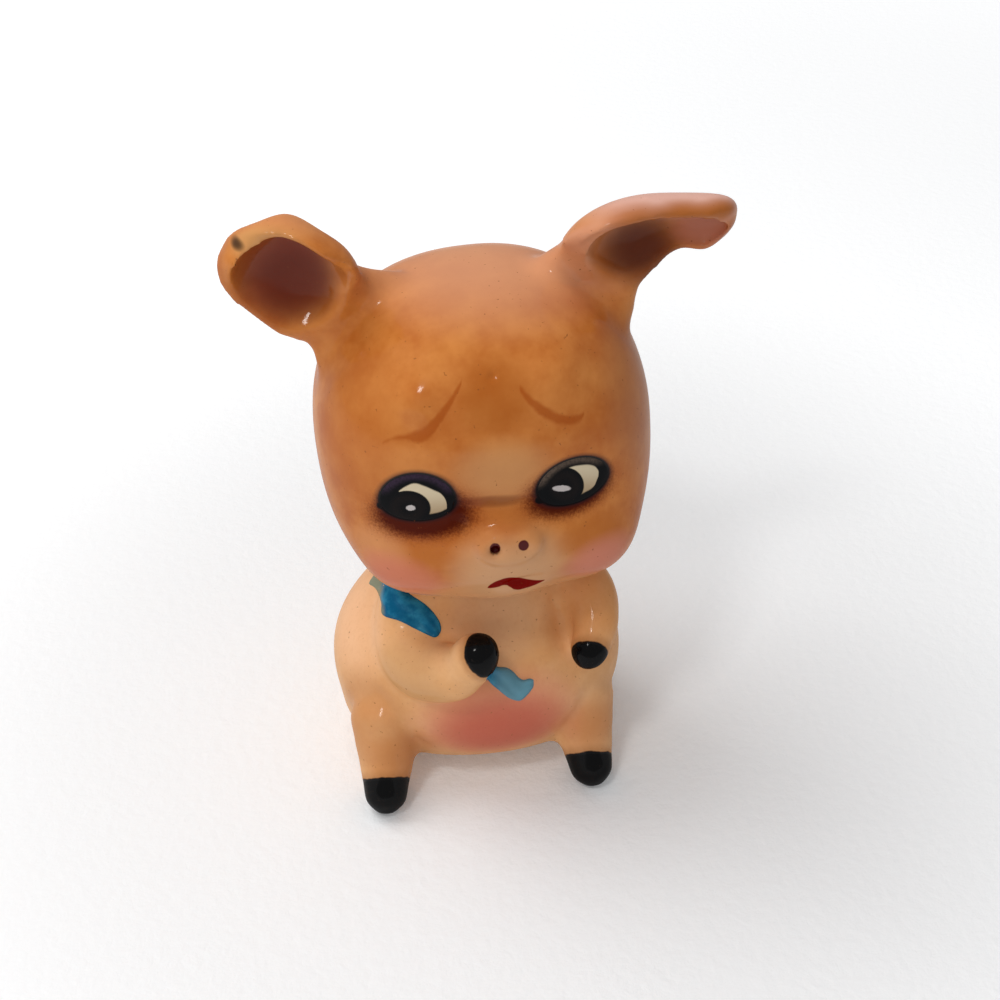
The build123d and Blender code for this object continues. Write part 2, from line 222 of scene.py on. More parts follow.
# Clay casting. Body and head are two hollow castings, and the ears, limbs and tail are pressed
# pieces, all joined with slip while wet and fired as one. The joints are wiped smooth, so the
# pieces are cut from one thin skin and keep its flow where they meet.
clay_voxel = 0.45 * mm
joint_lap = 0.15 * mm
clay_wall = 0.35 * mm
same_place = 0.001 * mm
clay_nodes = [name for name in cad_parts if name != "handkerchief"]
lapped = bmesh.new()
node_places = KDTree(sum(len(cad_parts[name].data.vertices) for name in clay_nodes))
node_of_place = []
for name in clay_nodes:
    solid = bmesh.new()
    solid.from_mesh(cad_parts[name].data)
    bmesh.ops.remove_doubles(solid, verts=solid.verts, dist=same_place)
    solid.normal_update()
    for vertex in solid.verts:
        node_places.insert(vertex.co, len(node_of_place))
        node_of_place.append(clay_nodes.index(name))
        vertex.co += vertex.normal * joint_lap
    solid_data = bpy.data.meshes.new(name)
    solid.to_mesh(solid_data)
    solid.free()
    lapped.from_mesh(solid_data)
    bpy.data.meshes.remove(solid_data)
node_places.balance()

# slip wiped into the joints of the ears: where, and how large, in millimetres
for place, radius in (
    ((-16.4, 0.5, 77.4), 2.9),
    ((-14.2, 1.5, 75.8), 3.0),
    ((-11.5, 2.5, 74.8), 3.0),
    ((10.6, 0.5, 77.6), 3.0),
    ((18.6, 0.4, 73.8), 3.0),
    ((18.7, -0.3, 71.0), 2.6),
):
    spot = Matrix.Translation(Vector(place) * mm)
    bmesh.ops.create_icosphere(lapped, subdivisions=3, radius=radius * mm, matrix=spot)
skin_data = bpy.data.meshes.new("skin")
lapped.to_mesh(skin_data)
lapped.free()
skin_object = bpy.data.objects.new("skin", skin_data)
bpy.context.scene.collection.objects.link(skin_object)
remesh = skin_object.modifiers.new("remesh", "REMESH")
remesh.mode = "VOXEL"
remesh.voxel_size = clay_voxel
bpy.context.view_layer.update()
evaluated = skin_object.evaluated_get(bpy.context.evaluated_depsgraph_get())
skin = bmesh.new()
skin.from_mesh(evaluated.to_mesh())
bpy.data.objects.remove(skin_object)


def keep_outside(vent_radius, vent_y, low, high):
    """Cuts the cavity off at the vent under the seat, and leaves the outer skin alone."""
    ring = []
    for face in skin.faces:
        middle = face.calc_center_median() / mm
        if low < middle.z < high and math.hypot(middle.x, middle.y - vent_y) < vent_radius:
            ring.append(face)
    bmesh.ops.delete(skin, geom=ring, context="FACES")
    top = max(skin.verts, key=lambda vertex: vertex.co.z)
    outside = {top}
    fresh = [top]
    while fresh:
        vertex = fresh.pop()
        for edge in vertex.link_edges:
            other = edge.other_vert(vertex)
            if other not in outside:
                outside.add(other)
                fresh.append(other)
    bmesh.ops.delete(skin, geom=[v for v in skin.verts if v not in outside], context="VERTS")


keep_outside(vent_radius=2.6, vent_y=6.0, low=0.35, high=1.6)


def places_of(mesh):
    tree = KDTree(len(mesh.verts))
    for vertex in mesh.verts:
        tree.insert(vertex.co, vertex.index)
    tree.balance()
    return tree


def wipe(vertices, times, mesh=skin):
    """Smooths a part of the skin, or of another mesh."""
    for _ in range(times):
        bmesh.ops.smooth_vert(
            mesh, verts=vertices, factor=0.5, use_axis_x=True, use_axis_y=True, use_axis_z=True
        )


def wipe_round(points, reach, times):
    """Smooths the skin within reach of some points."""
    near = set()
    for point in points:
        near.update(index for _, index, _ in skin_places.find_range(point, reach * mm))
    skin.verts.ensure_lookup_table()
    wipe([skin.verts[index] for index in near], times)


thumb_fades = 2.5


def under_thumb(centre, reach):
    """The vertices of the skin round a point, and how far each follows the thumb, up to 1."""
    for _, index, distance in skin_places.find_range(centre, thumb_fades * reach * mm):
        yield skin.verts[index], math.exp(-((distance / mm / reach) ** 2))


def press(x, y, z, reach, amount):
    """Raises or, with a negative amount, dents the skin round a point; all in millimetres."""
    for vertex, follow in under_thumb(Vector((x, y, z)) * mm, reach):
        vertex.co += vertex.normal * (amount * mm * follow)


def pull(x, y, z, reach, move):
    """Draws the skin round a point along, by millimetres."""
    for vertex, follow in under_thumb(Vector((x, y, z)) * mm, reach):
        vertex.co += Vector(move) * (mm * follow)


def narrow(x, y, z, reach, share):
    """Draws the skin round a point in sideways, by a share of its distance."""
    centre = Vector((x, y, z)) * mm
    for vertex, follow in under_thumb(centre, reach):
        vertex.co.x += (centre.x - vertex.co.x) * share * follow


def draw_line(points, reach, amount):
    """A raised or sunk line of the skin through some points."""
    for start, end in zip(points, points[1:]):
        start, end = Vector(start), Vector(end)
        steps = max(1, round((end - start).length / reach * 1.5))
        for step in range(steps):
            press(*start.lerp(end, step / steps), reach, amount)


skin.normal_update()
for vertex in skin.verts:
    vertex.co -= vertex.normal * joint_lap
wipe(skin.verts, times=6)

# the paint line of each hoof: its limb, a point on it in millimetres, and the way the hoof points
hoof_lines = {
    "hoof_front_right": ("arm_right", Vector((-4.0, -21.6, 30.9)), Vector((0.636, -0.505, 0.584))),
    "hoof_front_left": ("arm_left", Vector((13.6, -15.7, 26.8)), Vector((-0.25, -0.93, -0.2))),
    "hoof_rear_right": ("leg_right", Vector((-15.7, -17.7, 6.7)), Vector((-0.05, -0.75, -0.66))),
    "hoof_rear_left": ("leg_left", Vector((14.4, -16.4, 6.2)), Vector((-0.05, -0.78, -0.62))),
}

# each face of the skin is labelled with the nearest node, and the hooves are cut at their lines
label = skin.faces.layers.int.new("node")
eye_labels = {clay_nodes.index("eye_right"), clay_nodes.index("eye_left")}
for face in skin.faces:
    face[label] = node_of_place[node_places.find(face.calc_center_median())[1]]
    if face[label] in eye_labels:
        face[label] = clay_nodes.index("head")
paint_inset = 0.35
for hoof, (limb, point, axis) in hoof_lines.items():
    pair = {clay_nodes.index(hoof), clay_nodes.index(limb)}
    axis.normalize()
    line_place = (point + axis * paint_inset) * mm
    whole = [face for face in skin.faces if face[label] in pair]
    around = {item for face in whole for item in (*face.verts, *face.edges)}
    bmesh.ops.bisect_plane(skin, geom=whole + list(around), plane_co=line_place, plane_no=axis)
    for face in skin.faces:
        if face[label] in pair:
            beyond = (face.calc_center_median() - line_place).dot(axis) > 0
            face[label] = clay_nodes.index(hoof if beyond else limb)

skin.verts.index_update()
skin.verts.ensure_lookup_table()
skin_places = places_of(skin)

# the joints, wiped smooth: the two pieces, how far from the seam in millimetres, and how often
for first, second, reach, times in (
    ("head", "ear_right", 4.2, 60),
    ("head", "ear_left", 4.2, 60),
    ("body", "leg_right", 1.8, 14),
    ("body", "leg_left", 1.8, 14),
    ("body", "arm_right", 1.2, 8),
    ("body", "arm_left", 1.8, 16),
    ("body", "tail", 1.0, 6),
):
    pair = {clay_nodes.index(first), clay_nodes.index(second)}
    seam = []
    for vertex in skin.verts:
        if pair <= {face[label] for face in vertex.link_faces}:
            seam.append(vertex.co.copy())
    wipe_round(seam, reach, times)
skin.normal_update()

# thumb marks: a crease over the snout, and one between the brows
for points, reach, amount in (
    ([(-5.6, -19.3, 55.3), (-1.1, -19.9, 56.3), (4.6, -19.9, 56.0)], 0.8, -0.16),
    ([(-0.3, -15.2, 72.0), (-0.3, -15.5, 71.2)], 0.35, -0.12),
):
    draw_line(points, reach, amount)

# the roof of the right ear is lifted, and the lower lip of the left one pulled down
pull(-22.6, -4.3, 86.0, reach=4.8, move=(-0.2, 3.8, 1.2))
pull(-17.5, -3.0, 82.5, reach=3.0, move=(0.6, 1.0, 0.3))
pull(29.0, -1.0, 81.2, reach=2.2, move=(0, 0, -1.2))

# the creases between the belly and the legs
for points in (
    [(-15.8, -11.5, 18.0), (-13.1, -14.6, 14.3), (-11.0, -14.5, 11.1), (-8.9, -14.5, 8.9)],
    [(14.9, -12.6, 17.0), (12.6, -14.2, 12.9), (11.0, -14.5, 10.4), (9.2, -13.3, 6.8)],
):
    draw_line(points, reach=1.0, amount=-0.14)

# the right brow and the left arm are fuller, and the rear hooves narrower
press(-9.8, -15.8, 68.9, reach=2.2, amount=0.45)
press(14.5, -15.0, 40.5, reach=5.0, amount=0.8)
narrow(-15.8, -18.0, 6.0, reach=7.0, share=0.13)
narrow(14.4, -17.0, 5.6, reach=7.0, share=0.1)

# the snout and its upper edge, the roots of the ears, and the folds of the left arm and leg
for places, reach, times in (
    ([(1, -21, 52)], 7, 6),
    ([(-3, -21, 54), (1, -21.5, 54.3), (5, -21, 54)], 3.0, 20),
    ([(-18.5, -1, 77)], 2.5, 10),
    ([(-22.9, -1.7, 72), (-25.5, -1.5, 72.8), (-28, -1.2, 75)], 2.5, 10),
    ([(11.3, -9.8, 33), (11.6, -9.5, 29.8), (12, -9.3, 26), (12, -10, 24.5)], 2.2, 25),
    ([(16, -1, 76)], 2.5, 10),
    ([(21.3, -1.3, 76)], 2.2, 20),
    ([(15, -12, 18)], 4.0, 20),
):
    wipe_round([Vector(place) * mm for place in places], reach, times)

# the rim and the nostrils of the snout
skin_places = places_of(skin)
draw_line([(-5.2, -20.0, 53.6), (-4.4, -20.8, 52.2)], reach=0.7, amount=-0.12)
press(1.0, -22.2, 50.2, reach=3.0, amount=0.18)
snout_rim = [(-3.6, -20.9, 52.6), (-1, -21.3, 53.6), (3, -21.4, 53.6), (5.6, -21.1, 52.4)]
draw_line(snout_rim, reach=0.7, amount=-0.05)
press(-0.8, -22.4, 50.3, reach=0.8, amount=-0.8)
press(2.8, -22.4, 50.4, reach=0.8, amount=-0.8)
for vertex in skin.verts:
    vertex.co.z = max(vertex.co.z, 0)
skin.normal_update()
skin_places = places_of(skin)
skin_surface = BVHTree.FromBMesh(skin)


def add_piece(part, name, finish, flow=None):
    """Makes an object of a finished mesh; flow gives its normals at places of the skin."""
    for face in part.faces:
        face.smooth = True
    data = bpy.data.meshes.new(name)
    part.to_mesh(data)
    part.free()
    if flow:
        data.normals_split_custom_set_from_vertices([flow(vertex.co) for vertex in data.vertices])
    data.materials.append(finish)
    piece = bpy.data.objects.new(name, data)
    bpy.context.scene.collection.objects.link(piece)
    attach(piece, "root")
    return piece


def skin_flow(place):
    """The normal of the skin, or none for a place inside the clay."""
    _, index, distance = skin_places.find(place)
    return skin.verts[index].normal if distance < same_place else (0, 0, 0)


def clay_piece(name, finish):
    """Cuts one piece out of the skin and gives it the thickness of the clay, inwards."""
    wanted = clay_nodes.index(name)
    part = skin.copy()
    label_here = part.faces.layers.int["node"]
    others = [face for face in part.faces if face[label_here] != wanted]
    bmesh.ops.delete(part, geom=others, context="FACES")
    inside = bmesh.ops.extrude_face_region(part, geom=part.faces[:], use_keep_orig=True)
    for item in inside["geom"]:
        if isinstance(item, bmesh.types.BMVert):
            item.co -= Vector(skin_flow(item.co)) * clay_wall
            item.co.z = max(item.co.z, 0)
    bmesh.ops.recalc_face_normals(part, faces=part.faces)
    piece = add_piece(part, name + "_clay", finish, skin_flow)
    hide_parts(name)
    return piece


# Head and ears. The airbrush lays orange-tan over cream clay, thin on the crown and the muzzle,
# with pink cheeks and dark pink ear cups. A pale pink on the crown and on top of the left ear is
# partly painted sheen, and painted shade darkens the snout's upper edge, the crease over it and a
# fold at the tip of the right ear. Brows and mouth are put on with a fine brush.
tan, tan_shader, place = new_material("tan_paint")
x, y, z = (dot(place, axis) for axis in ((1, 0, 0), (0, 1, 0), (0, 0, 1)))
patches = noise(place, 0.12, 4, 0.6)
grain = noise(place, 1.6, 5, 0.6)


def blob(x, y, z, centre, reaches):
    """A soft airbrushed spot: 1 in its middle and 0 at its reach."""
    across, out, up = ((v - middle) / reach for v, middle, reach in zip((x, y, z), centre, reaches))
    return (across * across + out * out + up * up).soft(1, 0)


def stencil(place, centre, turn=0):
    """Places across and up a small drawing, square to the way the brush came, in millimetres."""
    turn = math.radians(turn)
    along = camera_right * math.cos(turn) + camera_up * math.sin(turn)
    up = camera_up * math.cos(turn) - camera_right * math.sin(turn)
    return dot(place, along) - along.dot(centre), dot(place, up) - up.dot(centre)


def oval(u, v, middle_u, middle_v, half_width, half_height):
    """Distance from the middle of an oval, 1 at its edge."""
    across = (u - middle_u) / half_width
    up = (v - middle_v) / half_height
    return (across * across + up * up).root()


def drawn(u, points):
    """The height of a hand-drawn line at a place across, from its points."""
    left, right = points[0][0], points[-1][0]
    low = min(v for _, v in points) - 0.5
    high = max(v for _, v in points) + 0.5
    stops = [((u_ - left) / (right - left), (v_ - low) / (high - low)) for u_, v_ in points]
    share = (u - left) / (right - left)
    line = u.make("ShaderNodeFloatCurve", {"points": stops}, {"Factor": 1, "Value": share})
    return line * (high - low) + low


def between(u, v, upper, lower, edge=0.08):
    """A shape between two drawn lines."""
    left, right = upper[0][0], upper[-1][0]
    inside = (drawn(u, upper) - v).soft(-edge, edge) * (v - drawn(u, lower)).soft(-edge, edge)
    return inside * u.soft(left, left + edge) * u.soft(right, right - edge)


# each eye: the middle of its iris, the turn of its lids in degrees, the lids' middle, half width,
# rise and drop, the iris' half width and height, the upper and lower line of the white, and four
# numbers each for the light in it, the shading round it and its inner corner: middle and reach
eyes = {
    "eye_right": {
        "centre": Vector((-11.3, -17.7, 54.5)),
        "turn": 0,
        "lids": (1.2, 1.0, 4.85, 3.35, 2.6),
        "iris": (2.85, 2.15),
        "white": (
            [
                (-1.1, 2.1), (0.0, 2.8), (0.95, 3.1), (2.1, 2.8), (3.25, 2.3),
                (4.3, 1.75), (5.0, 0.1),
            ],
            [(-1.1, -0.7), (2.9, -0.7), (5.0, 0.0)],
        ),
        "light": (0.4, 0.03, 0.62, 0.36),
        "lid_tone": colour(52, 38, 56),
        "shade": (1.9, -0.6, 6.9, 3.5),
        "corner": (-3.1, 0.35, 1.0, 0.6),
    },
    "eye_left": {
        "centre": Vector((8.5, -18.9, 56.8)),
        "turn": 21,
        "lids": (1.2, 0.1, 4.85, 2.85, 2.65),
        "iris": (2.42, 2.27),
        "white": (
            [(0.3, 2.15), (0.46, 2.26), (1.87, 2.6), (3.5, 2.58), (4.2, 2.1), (4.4, 1.5)],
            [(0.3, -2.1), (0.6, -1.9), (2.4, -0.9), (3.8, 0.0), (4.2, 0.9), (4.4, 1.4)],
        ),
        "light": (-0.4, -0.3, 1.2, 0.4),
        "lid_tone": colour(92, 78, 68),
        "shade": (0.4, -0.7, 6.0, 3.2),
        "corner": (-3.2, -0.5, 1.1, 0.6),
    },
}


def lids_far(u, v, lids):
    """Distance from the middle of an eye, 1 at the edge of its lids."""
    across, up, half_width, rise, drop = lids
    side = (u - across) / half_width
    height = (v - up) / rise
    below = (up - v) / drop
    far = height.larger(below)
    return (side * side + far * far).root()


def lay(top, under, mask):
    """One paint over another, where the mask is 1."""
    settings = {"data_type": "RGBA", "clamp_factor": True}
    under_socket, top_socket, mixed_socket = 6, 7, 2  # by number, as several share a name
    inputs = {"Factor": mask, under_socket: under, top_socket: top}
    return mask.make("ShaderNodeMix", settings, inputs, mixed_socket)


def varnish(shader, weight):
    """The thin clear varnish over every paint of the ornament."""
    shader.inputs["Specular IOR Level"].default_value = 0
    shader.inputs["Coat Weight"].default_value = weight
    shader.inputs["Coat Roughness"].default_value = 0.12


thin_tan, full_tan = colour(214, 137, 68), colour(182, 97, 34)
eye_rust, eye_maroon = colour(142, 58, 14), colour(70, 12, 2)
eye_shadow, eye_black = colour(44, 24, 26), colour(14, 8, 10)
brow_ochre, lip_red, nostril_red = colour(164, 72, 2), colour(120, 4, 0), colour(78, 10, 12)
dust_brown = colour(120, 62, 28)
head_colour = lay(thin_tan, full_tan, patches.soft(0.24, 0.76))
for middle, reaches, tone, strength in (
    # painted sheen: a pale pink over the thin paint of the crown
    ((2.5, 7, 80), (24, 25, 11.5), (216, 154, 118), 0.8),
    ((-17, -12, 62), (9, 12, 12), (190, 108, 44), 0.5),
    ((19, -8, 64), (8, 14, 14), (176, 112, 68), 0.6),
    ((0.0, -17, 69.5), (6, 8, 6), (172, 92, 24), 0.6),
    ((0.5, -18, 60), (8, 9, 6), (204, 146, 92), 0.75),
    ((1, -16, 39), (22, 16, 7), (214, 158, 112), 0.8),
    ((1.5, -22, 46), (10, 9, 8.5), (210, 160, 116), 0.9),
    ((-10.5, -19, 49.0), (6.5, 6, 3.4), (186, 104, 34), 0.8),
    ((12.3, -19.6, 49.2), (6.5, 6, 3.4), (186, 104, 34), 0.8),
    # painted shade: darker orange along the snout's upper edge, and dark brown in the crease over
    # it
    ((1.2, -21, 54.2), (5.6, 5, 1.9), (186, 108, 46), 0.75),
    ((-1, -20, 56.0), (6.5, 4, 1.0), (112, 48, 10), 0.65),
    ((-15, -17, 47.5), (5, 6, 4.5), (214, 148, 98), 0.55),
    ((-12.6, -18, 43.6), (7.5, 8, 5), (206, 118, 94), 0.8),
    ((13.4, -18.5, 44.8), (6.5, 8, 4.8), (208, 128, 106), 0.85),
    # painted sheen: a pale pink on top of the left ear
    ((25, -1, 88.8), (17, 12, 6.5), (228, 180, 166), 0.95),
    ((-24, 2, 88), (10, 9, 5), (220, 152, 104), 0.6),
):
    head_colour = lay(colour(*tone), head_colour, blob(x, y, z, middle, reaches) * strength)
facing = place.make("ShaderNodeNewGeometry", output="Normal")
toward_front = dot(facing, (0, -1, 0)).soft(-0.25, 0.35)
for middle, reaches, tone, strength in (
    ((-24.4, 1.5, 79.6), (9.6, 6.5, 9.4), (128, 58, 38), 1),
    ((-21.5, 3, 83.5), (6.0, 5.5, 6.0), (126, 50, 32), 0.9),
    ((-22.6, 1, 78.0), (6.5, 6, 6.5), (98, 30, 4), 0.85),
    ((-28.5, -3.5, 85.6), (8.0, 4.0, 2.6), (208, 150, 92), 0.9),
    # painted shade: a dark spot in the fold at the tip of the right ear
    ((-30.0, -2.2, 84.9), (1.5, 3, 0.9), (52, 32, 20), 0.9),
    ((13.0, -3.5, 85), (5, 6, 5), (214, 152, 122), 0.7),
    ((16.5, -4, 79.5), (3.2, 6, 5.5), (176, 98, 32), 0.85),
    ((19.0, -5.4, 86.5), (5, 3.5, 2.2), (176, 98, 30), 0.9),
    ((24.5, -5, 86.4), (5.5, 3.5, 2.0), (176, 98, 30), 0.95),
    ((30, -4.4, 86.0), (5, 3.5, 2.0), (176, 98, 30), 0.95),
    ((21.2, 1, 79.2), (7.2, 6, 6.6), (88, 32, 8), 0.95),
    ((29.8, 0, 82.0), (6.0, 5, 3.2), (182, 114, 92), 0.9),
):
    spot = blob(x, y, z, middle, reaches) * toward_front
    head_colour = lay(colour(*tone), head_colour, spot * strength)
front = y.soft(-8, -12)
specks = noise(place, 3.4, 3, 0.75)
gloss = None
for eye in eyes.values():
    u, v = stencil(place, eye["centre"], eye["turn"])
    halo = oval(u, v, *eye["shade"]) + (specks - 0.5) * 0.45
    rust = halo.soft(1.4, 0.65) * front
    maroon = halo.soft(1.15, 0.68) * front
    far = lids_far(u, v, eye["lids"])
    head_colour = lay(eye_rust, head_colour, rust * 0.75)
    head_colour = lay(eye_maroon, head_colour, maroon * 0.95)
    head_colour = lay(eye_shadow, head_colour, far.soft(1.22, 0.98) * front * 0.8)
    corner = oval(u, v, *eye["corner"])
    rim = far.soft(1.08, 1.0).larger(corner.soft(1.05, 0.8))
    head_colour = lay(eye_black, head_colour, rim * front)
    gloss = maroon if gloss is None else gloss.larger(maroon)

# each brow: its middle, the line of the brush, and how wide the brush lay
for centre, line, width in (
    (
        Vector((-8.1, -16.9, 67.7)),
        [
            (-6.2, -3.4), (-4.6, -2.75), (-2.9, -2.6), (-1.4, -2.5),
            (0, -1.7), (1, -0.45), (2, 0.9), (3.9, 4.2),
        ],
        [(-6.2, 0.0), (-4.4, 0.12), (-3.0, 0.3), (-1.6, 0.7), (0.2, 0.85), (2.0, 0.6), (3.9, 0.2)],
    ),
    (
        Vector((6.8, -17.4, 67.9)),
        [
            (-4.1, 2.45), (-3.05, 1.1), (-1.95, 0.1), (-0.45, -0.87),
            (1.3, -1.5), (2.95, -1.55), (4.2, -0.5),
        ],
        [(-4.1, 0.2), (-2.4, 0.55), (-0.5, 0.65), (1.6, 0.5), (3.2, 0.45), (4.2, 0.15)],
    ),
):
    u, v = stencil(place, centre)
    stroke = abs(v - drawn(u, line)) - drawn(u, width) + (noise(place, 1.2, 3) - 0.5) * 0.5
    ends = u.soft(line[0][0], line[0][0] + 0.3) * u.soft(line[-1][0], line[-1][0] - 0.2)
    head_colour = lay(brow_ochre, head_colour, stroke.soft(0.4, -0.3) * ends * front * 0.68)
u, v = stencil(place, Vector((2.2, -20.5, 43.0)))
upper_lip = [
    (-3.7, -0.5), (-3.1, 0.07), (-2.3, 0.5), (-0.8, 0.9),
    (0.35, 0.8), (1.7, 0.5), (2.75, 0.38), (3.8, 0.42),
]
lower_lip = [
    (-3.7, -0.6), (-3.1, -0.6), (-2.3, -0.45), (-1.4, -0.2),
    (-0.8, -0.46), (0.16, -0.9), (1.1, -0.75), (3.8, 0.35),
]
lips = between(u, v, upper_lip, lower_lip)
head_colour = lay(lip_red, head_colour, lips * front)
for centre in (Vector((-0.8, -22.0, 50.3)), Vector((2.8, -22.0, 50.4))):
    u, v = stencil(place, centre)
    nostril = (oval(u, v, 0, 0, 0.68, 0.7) + (grain - 0.5) * 0.3).soft(1.1, 0.85) * front
    head_colour = lay(nostril_red, head_colour, nostril)
dust = noise(place, 1.9, 2).soft(0.70, 0.76)
head_colour = lay(dust_brown, head_colour, dust * 0.6)
feed(tan_shader, "Base Color", head_colour)
feed(tan_shader, "Roughness", 0.3 + grain * 0.14 - gloss * 0.12)
feed(tan_shader, "Normal", bump(grain + patches * 3, 0.3, 0.07))
tan_varnish = 0.45
varnish(tan_shader, tan_varnish)
feed(tan_shader, "Coat Weight", tan_varnish - lips * 0.36 - gloss * 0.3)
for name in ("head", "ear_right", "ear_left"):
    clay_piece(name, tan)

# Eyes. Painted almonds under a drop of clear enamel, laid a little proud of the face: black,
# with a white crescent beside the iris and a dark lid above.
enamel, enamel_shader, place = new_material("eye_enamel")
x = dot(place, (1, 0, 0))
specks = noise(place, 3.4, 3, 0.7)
iris_rim, iris_black = colour(24, 17, 16), colour(4, 5, 8)
white_above, white_in_painted_shade = colour(214, 198, 168), colour(176, 152, 120)
window_light = colour(206, 198, 196)
side_colours = {}
for name, eye in eyes.items():
    u, v = stencil(place, eye["centre"], eye["turn"])
    u = u + (noise(place, 0.9, 2) - 0.5) * 0.3
    up = eye["lids"][1]
    upper_lid = lids_far(u, v, eye["lids"]).soft(0.66, 0.9) * (v - up).soft(0.4, 1.8)
    u, v = stencil(place, eye["centre"])
    iris_far = oval(u, v, 0, 0, *eye["iris"])
    white = between(u, v, *eye["white"], 0.12) * iris_far.soft(0.99, 1.06)
    light = (oval(u, v, *eye["light"]) + (specks - 0.5) * 0.5).soft(1.1, 0.8)
    brown = iris_far.soft(1.0, 0.6) * iris_far.soft(0.1, 0.6)
    side = lay(iris_rim, iris_black, brown * 0.6)
    side = lay(eye["lid_tone"], side, upper_lid * (specks.soft(0.3, 0.6) * 0.5 + 0.5))
    # the white of each eye is darker towards its lower edge: painted shade
    side = lay(lay(white_above, white_in_painted_shade, v.soft(-1, 2.4)), side, white)
    side_colours[name] = lay(window_light, side, light * 0.85)
eye_colour = lay(side_colours["eye_right"], side_colours["eye_left"], x.soft(1, -1))
feed(enamel_shader, "Base Color", eye_colour)
feed(enamel_shader, "Roughness", 0.1 + specks * 0.1)
varnish(enamel_shader, 0.2)
lens_rise = 0.5 * mm
lens_sink = 0.12 * mm
brush_reach = 60


def on_skin(surface, centre, u, v):
    """Where a brush stroke from the front meets a surface, at a place of a stencil."""
    start = (centre + camera_right * u + camera_up * v + camera_back * brush_reach) * mm
    return surface.ray_cast(start, -camera_back)[0]


for name, eye in eyes.items():
    across, up, half_width, rise, drop = eye["lids"]
    turn = math.radians(eye["turn"])
    lens = bmesh.new()
    bmesh.ops.create_uvsphere(lens, u_segments=72, v_segments=28, radius=1)
    for vertex in lens.verts:
        side, height, dome = vertex.co
        u = across + half_width * side
        v = up + (rise if height > 0 else drop) * height
        turned = (u * math.cos(turn) - v * math.sin(turn), u * math.sin(turn) + v * math.cos(turn))
        base = on_skin(skin_surface, eye["centre"], *turned)
        vertex.co = base + camera_back * (dome * lens_rise - lens_sink)
    piece = add_piece(lens, name + "_enamel", enamel)
    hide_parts(name)

# Body, arms, legs and tail. The same clay under a thin cream wash, with a pink blush sprayed on
# the belly. Painted shade darkens the right leg and the creases between belly, legs and left arm,
# and painted light makes the pig's right flank and left leg paler.
def cream_paint(name, hoof_line=None):
    """The paint of the body, and of a limb with the wavy edge of its black hoof."""
    cream, cream_shader, place = new_material(name)
    x, y, z = (dot(place, axis) for axis in ((1, 0, 0), (0, 1, 0), (0, 0, 1)))
    patches = noise(place, 0.14, 4, 0.6)
    grain = noise(place, 1.6, 5, 0.6)
    thin_cream, full_cream = colour(235, 182, 130), colour(225, 164, 106)
    dust_tan, hoof_smear, dip_black = colour(146, 92, 52), colour(160, 98, 50), colour(14, 13, 14)
    body_colour = lay(thin_cream, full_cream, patches.soft(0.25, 0.75))
    for middle, reaches, tone, strength in (
        # painted light on the pig's right flank
        ((-20, -4, 26), (8, 16, 12), (246, 194, 152), 0.75),
        ((1, -14, 30), (9, 10, 9), (216, 168, 126), 0.7),
        # painted shade on the right leg, and painted light on the left leg
        ((-17, -12, 13), (8, 10, 9), (194, 132, 84), 0.6),
        ((15.5, -14, 11), (6, 9, 8), (216, 164, 120), 0.65),
        # painted shade in the creases between the belly and the legs
        ((-13, -14, 9), (7, 9, 5), (190, 120, 66), 0.8),
        ((14, -12, 10), (6, 8, 5), (196, 122, 66), 0.7),
        ((16, -12, 31), (7, 8, 8), (208, 138, 78), 0.5),
        # painted shade in the crease between the left arm and the body
        ((9.5, -13, 30), (3.0, 5, 8), (186, 122, 70), 0.5),
        ((-12, -16, 24), (9, 8, 6), (206, 156, 106), 0.75),
        ((0.9, -17, 14.5), (14.5, 15, 10.5), (216, 128, 102), 0.9),
        ((1.0, -17, 13.2), (11.5, 15, 7.2), (184, 74, 58), 0.6),
    ):
        spot = blob(x, y, z, middle, reaches) + (grain - 0.5) * 0.12
        body_colour = lay(colour(*tone), body_colour, spot * strength)
    dust = noise(place, 1.7, 2).soft(0.69, 0.76)
    body_colour = lay(dust_tan, body_colour, dust * 0.6)
    if hoof_line:
        _, point, axis = hoof_line
        wobble = (noise(place, 0.5, 3) - 0.5) * 0.7
        beyond = dot(place, axis) - axis.dot(point) + wobble
        body_colour = lay(hoof_smear, body_colour, beyond.soft(-1.4, 0.0) * 0.5)
        body_colour = lay(dip_black, body_colour, beyond.soft(-0.14, 0.1))
    feed(cream_shader, "Base Color", body_colour)
    feed(cream_shader, "Roughness", 0.34 + grain * 0.16)
    feed(cream_shader, "Normal", bump(grain + patches * 3, 0.3, 0.07))
    varnish(cream_shader, 0.35)
    return cream


cream = cream_paint("cream_paint")
for name in ("body", "tail"):
    clay_piece(name, cream)
for hoof_line in hoof_lines.values():
    limb = hoof_line[0]
    clay_piece(limb, cream_paint(limb + "_paint", hoof_line))

# Hooves. The ends of the four limbs are dipped in black enamel, which shines a little.
black, black_shader, place = new_material("hoof_enamel")
grain = noise(place, 2.0, 4, 0.6)
scuffs = noise(place, 0.9, 5, 0.7).soft(0.62, 0.74)
scuff_grey, hoof_black = colour(60, 52, 48), colour(11, 11, 12)
feed(black_shader, "Base Color", lay(scuff_grey, hoof_black, scuffs * 0.5))
feed(black_shader, "Roughness", 0.26 + grain * 0.2)
feed(black_shader, "Normal", bump(grain, 0.3, 0.08))
varnish(black_shader, 0.25)
for name in hoof_lines:
    clay_piece(name, black)

